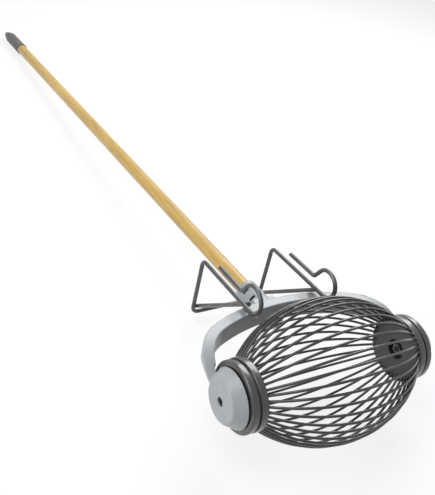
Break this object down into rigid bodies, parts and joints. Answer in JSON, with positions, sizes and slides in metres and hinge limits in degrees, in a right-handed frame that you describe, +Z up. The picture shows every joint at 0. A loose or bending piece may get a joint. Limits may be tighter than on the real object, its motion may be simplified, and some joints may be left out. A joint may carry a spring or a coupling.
{
  "type": "nut gatherer",
  "caption": "Rolling nut gatherer: an egg-shaped cage of spring wires turning in a bow-shaped yoke on a long wooden handle, with a loose wire frame that opens the cage over a bucket",
  "frame": {"origin": "middle of the bounding box on the floor, with the tool lying on its cage and on its handle cap", "axes": "X along the cage's axle, +Y from the cage to the handle's cap, +Z up"},
  "size_m": [0.304, 1.4985, 0.1776],
  "materials": {
    "handle_wood": "pale turned hardwood, clear lacquer",
    "cap_plastic": "dark grey moulded plastic",
    "yoke_plastic": "grey moulded plastic with a soft sheen",
    "hub_plastic": "glossy black moulded plastic",
    "bush_plastic": "plain bearing plastic",
    "spring_steel": "black coated spring wire",
    "frame_steel": "dark grey coated wire",
    "bolt_steel": "black oxide",
    "fastener_steel": "zinc plated"
  },
  "bodies": {
    "base": {"handle": "handle_wood", "handle_cap": "cap_plastic", "handle_screws": "fastener_steel", "yoke": "yoke_plastic", "axle_bolt_left": "bolt_steel", "axle_bolt_right": "bolt_steel", "thrust_washers": "fastener_steel", "keeper_washers": "fastener_steel", "lock_nuts": "fastener_steel"},
    "cage": {"hub_left": "hub_plastic", "hub_right": "hub_plastic", "hub_bush_left": "bush_plastic", "hub_bush_right": "bush_plastic"},
    "bucket_frame": {"hook_wire": "frame_steel", "brace_left": "frame_steel", "brace_right": "frame_steel"},
    "wire_01": {"wire_01": "spring_steel"},
    "wire_02": {"wire_02": "spring_steel"},
    "wire_03": {"wire_03": "spring_steel"},
    "wire_04": {"wire_04": "spring_steel"},
    "wire_05": {"wire_05": "spring_steel"},
    "wire_06": {"wire_06": "spring_steel"},
    "wire_07": {"wire_07": "spring_steel"},
    "wire_08": {"wire_08": "spring_steel"},
    "wire_09": {"wire_09": "spring_steel"},
    "wire_10": {"wire_10": "spring_steel"},
    "wire_11": {"wire_11": "spring_steel"},
    "wire_12": {"wire_12": "spring_steel"},
    "wire_13": {"wire_13": "spring_steel"},
    "wire_14": {"wire_14": "spring_steel"},
    "wire_15": {"wire_15": "spring_steel"},
    "wire_16": {"wire_16": "spring_steel"},
    "wire_17": {"wire_17": "spring_steel"},
    "wire_18": {"wire_18": "spring_steel"},
    "wire_19": {"wire_19": "spring_steel"},
    "wire_20": {"wire_20": "spring_steel"},
    "wire_21": {"wire_21": "spring_steel"},
    "wire_22": {"wire_22": "spring_steel"},
    "wire_23": {"wire_23": "spring_steel"},
    "wire_24": {"wire_24": "spring_steel"},
    "wire_25": {"wire_25": "spring_steel"},
    "wire_26": {"wire_26": "spring_steel"},
    "wire_27": {"wire_27": "spring_steel"},
    "wire_28": {"wire_28": "spring_steel"},
    "wire_29": {"wire_29": "spring_steel"},
    "wire_30": {"wire_30": "spring_steel"},
    "wire_31": {"wire_31": "spring_steel"},
    "wire_32": {"wire_32": "spring_steel"},
    "wire_33": {"wire_33": "spring_steel"},
    "wire_34": {"wire_34": "spring_steel"},
    "wire_35": {"wire_35": "spring_steel"},
    "wire_36": {"wire_36": "spring_steel"},
    "wire_37": {"wire_37": "spring_steel"},
    "wire_38": {"wire_38": "spring_steel"},
    "wire_39": {"wire_39": "spring_steel"},
    "wire_40": {"wire_40": "spring_steel"}
  },
  "joints": [
    {"name": "cage_spin", "type": "hinge", "parent": "base", "child": "cage", "pos_m": [0, -0.66048, 0.08878], "axis": [1, 0, 0], "continuous": true},
    {"name": "bucket_frame_slide", "type": "slide", "parent": "base", "child": "bucket_frame", "axis": [0, 1, 0], "range_m": [0, 0.2]},
    {"name": "wire_01_flex", "type": "hinge", "parent": "cage", "child": "wire_01", "pos_m": [0, -0.6216, 0.09184], "axis": [1, 0, 0], "range_deg": [-5, 5], "stiffness_Nm_per_rad": 2.5},
    {"name": "wire_02_flex", "type": "hinge", "parent": "cage", "child": "wire_02", "pos_m": [0, -0.62256, 0.09788], "axis": [1, 0, 0], "range_deg": [-5, 5], "stiffness_Nm_per_rad": 2.5},
    {"name": "wire_03_flex", "type": "hinge", "parent": "cage", "child": "wire_03", "pos_m": [0, -0.62445, 0.10371], "axis": [1, 0, 0], "range_deg": [-5, 5], "stiffness_Nm_per_rad": 2.5},
    {"name": "wire_04_flex", "type": "hinge", "parent": "cage", "child": "wire_04", "pos_m": [0, -0.62723, 0.10916], "axis": [1, 0, 0], "range_deg": [-5, 5], "stiffness_Nm_per_rad": 2.5},
    {"name": "wire_05_flex", "type": "hinge", "parent": "cage", "child": "wire_05", "pos_m": [0, -0.63082, 0.11411], "axis": [1, 0, 0], "range_deg": [-5, 5], "stiffness_Nm_per_rad": 2.5},
    {"name": "wire_06_flex", "type": "hinge", "parent": "cage", "child": "wire_06", "pos_m": [0, -0.63515, 0.11844], "axis": [1, 0, 0], "range_deg": [-5, 5], "stiffness_Nm_per_rad": 2.5},
    {"name": "wire_07_flex", "type": "hinge", "parent": "cage", "child": "wire_07", "pos_m": [0, -0.6401, 0.12203], "axis": [1, 0, 0], "range_deg": [-5, 5], "stiffness_Nm_per_rad": 2.5},
    {"name": "wire_08_flex", "type": "hinge", "parent": "cage", "child": "wire_08", "pos_m": [0, -0.64556, 0.12481], "axis": [1, 0, 0], "range_deg": [-5, 5], "stiffness_Nm_per_rad": 2.5},
    {"name": "wire_09_flex", "type": "hinge", "parent": "cage", "child": "wire_09", "pos_m": [0, -0.65138, 0.1267], "axis": [1, 0, 0], "range_deg": [-5, 5], "stiffness_Nm_per_rad": 2.5},
    {"name": "wire_10_flex", "type": "hinge", "parent": "cage", "child": "wire_10", "pos_m": [0, -0.65742, 0.12766], "axis": [1, 0, 0], "range_deg": [-5, 5], "stiffness_Nm_per_rad": 2.5},
    {"name": "wire_11_flex", "type": "hinge", "parent": "cage", "child": "wire_11", "pos_m": [0, -0.66354, 0.12766], "axis": [1, 0, 0], "range_deg": [-5, 5], "stiffness_Nm_per_rad": 2.5},
    {"name": "wire_12_flex", "type": "hinge", "parent": "cage", "child": "wire_12", "pos_m": [0, -0.66958, 0.1267], "axis": [1, 0, 0], "range_deg": [-5, 5], "stiffness_Nm_per_rad": 2.5},
    {"name": "wire_13_flex", "type": "hinge", "parent": "cage", "child": "wire_13", "pos_m": [0, -0.67541, 0.12481], "axis": [1, 0, 0], "range_deg": [-5, 5], "stiffness_Nm_per_rad": 2.5},
    {"name": "wire_14_flex", "type": "hinge", "parent": "cage", "child": "wire_14", "pos_m": [0, -0.68086, 0.12203], "axis": [1, 0, 0], "range_deg": [-5, 5], "stiffness_Nm_per_rad": 2.5},
    {"name": "wire_15_flex", "type": "hinge", "parent": "cage", "child": "wire_15", "pos_m": [0, -0.68581, 0.11844], "axis": [1, 0, 0], "range_deg": [-5, 5], "stiffness_Nm_per_rad": 2.5},
    {"name": "wire_16_flex", "type": "hinge", "parent": "cage", "child": "wire_16", "pos_m": [0, -0.69014, 0.11411], "axis": [1, 0, 0], "range_deg": [-5, 5], "stiffness_Nm_per_rad": 2.5},
    {"name": "wire_17_flex", "type": "hinge", "parent": "cage", "child": "wire_17", "pos_m": [0, -0.69373, 0.10916], "axis": [1, 0, 0], "range_deg": [-5, 5], "stiffness_Nm_per_rad": 2.5},
    {"name": "wire_18_flex", "type": "hinge", "parent": "cage", "child": "wire_18", "pos_m": [0, -0.69651, 0.10371], "axis": [1, 0, 0], "range_deg": [-5, 5], "stiffness_Nm_per_rad": 2.5},
    {"name": "wire_19_flex", "type": "hinge", "parent": "cage", "child": "wire_19", "pos_m": [0, -0.6984, 0.09788], "axis": [1, 0, 0], "range_deg": [-5, 5], "stiffness_Nm_per_rad": 2.5},
    {"name": "wire_20_flex", "type": "hinge", "parent": "cage", "child": "wire_20", "pos_m": [0, -0.69936, 0.09184], "axis": [1, 0, 0], "range_deg": [-5, 5], "stiffness_Nm_per_rad": 2.5},
    {"name": "wire_21_flex", "type": "hinge", "parent": "cage", "child": "wire_21", "pos_m": [0, -0.69936, 0.08572], "axis": [1, 0, 0], "range_deg": [-5, 5], "stiffness_Nm_per_rad": 2.5},
    {"name": "wire_22_flex", "type": "hinge", "parent": "cage", "child": "wire_22", "pos_m": [0, -0.6984, 0.07968], "axis": [1, 0, 0], "range_deg": [-5, 5], "stiffness_Nm_per_rad": 2.5},
    {"name": "wire_23_flex", "type": "hinge", "parent": "cage", "child": "wire_23", "pos_m": [0, -0.69651, 0.07386], "axis": [1, 0, 0], "range_deg": [-5, 5], "stiffness_Nm_per_rad": 2.5},
    {"name": "wire_24_flex", "type": "hinge", "parent": "cage", "child": "wire_24", "pos_m": [0, -0.69373, 0.0684], "axis": [1, 0, 0], "range_deg": [-5, 5], "stiffness_Nm_per_rad": 2.5},
    {"name": "wire_25_flex", "type": "hinge", "parent": "cage", "child": "wire_25", "pos_m": [0, -0.69014, 0.06345], "axis": [1, 0, 0], "range_deg": [-5, 5], "stiffness_Nm_per_rad": 2.5},
    {"name": "wire_26_flex", "type": "hinge", "parent": "cage", "child": "wire_26", "pos_m": [0, -0.68581, 0.05912], "axis": [1, 0, 0], "range_deg": [-5, 5], "stiffness_Nm_per_rad": 2.5},
    {"name": "wire_27_flex", "type": "hinge", "parent": "cage", "child": "wire_27", "pos_m": [0, -0.68086, 0.05553], "axis": [1, 0, 0], "range_deg": [-5, 5], "stiffness_Nm_per_rad": 2.5},
    {"name": "wire_28_flex", "type": "hinge", "parent": "cage", "child": "wire_28", "pos_m": [0, -0.67541, 0.05275], "axis": [1, 0, 0], "range_deg": [-5, 5], "stiffness_Nm_per_rad": 2.5},
    {"name": "wire_29_flex", "type": "hinge", "parent": "cage", "child": "wire_29", "pos_m": [0, -0.66958, 0.05086], "axis": [1, 0, 0], "range_deg": [-5, 5], "stiffness_Nm_per_rad": 2.5},
    {"name": "wire_30_flex", "type": "hinge", "parent": "cage", "child": "wire_30", "pos_m": [0, -0.66354, 0.0499], "axis": [1, 0, 0], "range_deg": [-5, 5], "stiffness_Nm_per_rad": 2.5},
    {"name": "wire_31_flex", "type": "hinge", "parent": "cage", "child": "wire_31", "pos_m": [0, -0.65742, 0.0499], "axis": [1, 0, 0], "range_deg": [-5, 5], "stiffness_Nm_per_rad": 2.5},
    {"name": "wire_32_flex", "type": "hinge", "parent": "cage", "child": "wire_32", "pos_m": [0, -0.65138, 0.05086], "axis": [1, 0, 0], "range_deg": [-5, 5], "stiffness_Nm_per_rad": 2.5},
    {"name": "wire_33_flex", "type": "hinge", "parent": "cage", "child": "wire_33", "pos_m": [0, -0.64556, 0.05275], "axis": [1, 0, 0], "range_deg": [-5, 5], "stiffness_Nm_per_rad": 2.5},
    {"name": "wire_34_flex", "type": "hinge", "parent": "cage", "child": "wire_34", "pos_m": [0, -0.6401, 0.05553], "axis": [1, 0, 0], "range_deg": [-5, 5], "stiffness_Nm_per_rad": 2.5},
    {"name": "wire_35_flex", "type": "hinge", "parent": "cage", "child": "wire_35", "pos_m": [0, -0.63515, 0.05912], "axis": [1, 0, 0], "range_deg": [-5, 5], "stiffness_Nm_per_rad": 2.5},
    {"name": "wire_36_flex", "type": "hinge", "parent": "cage", "child": "wire_36", "pos_m": [0, -0.63082, 0.06345], "axis": [1, 0, 0], "range_deg": [-5, 5], "stiffness_Nm_per_rad": 2.5},
    {"name": "wire_37_flex", "type": "hinge", "parent": "cage", "child": "wire_37", "pos_m": [0, -0.62723, 0.0684], "axis": [1, 0, 0], "range_deg": [-5, 5], "stiffness_Nm_per_rad": 2.5},
    {"name": "wire_38_flex", "type": "hinge", "parent": "cage", "child": "wire_38", "pos_m": [0, -0.62445, 0.07386], "axis": [1, 0, 0], "range_deg": [-5, 5], "stiffness_Nm_per_rad": 2.5},
    {"name": "wire_39_flex", "type": "hinge", "parent": "cage", "child": "wire_39", "pos_m": [0, -0.62256, 0.07968], "axis": [1, 0, 0], "range_deg": [-5, 5], "stiffness_Nm_per_rad": 2.5},
    {"name": "wire_40_flex", "type": "hinge", "parent": "cage", "child": "wire_40", "pos_m": [0, -0.6216, 0.08572], "axis": [1, 0, 0], "range_deg": [-5, 5], "stiffness_Nm_per_rad": 2.5}
  ]
}
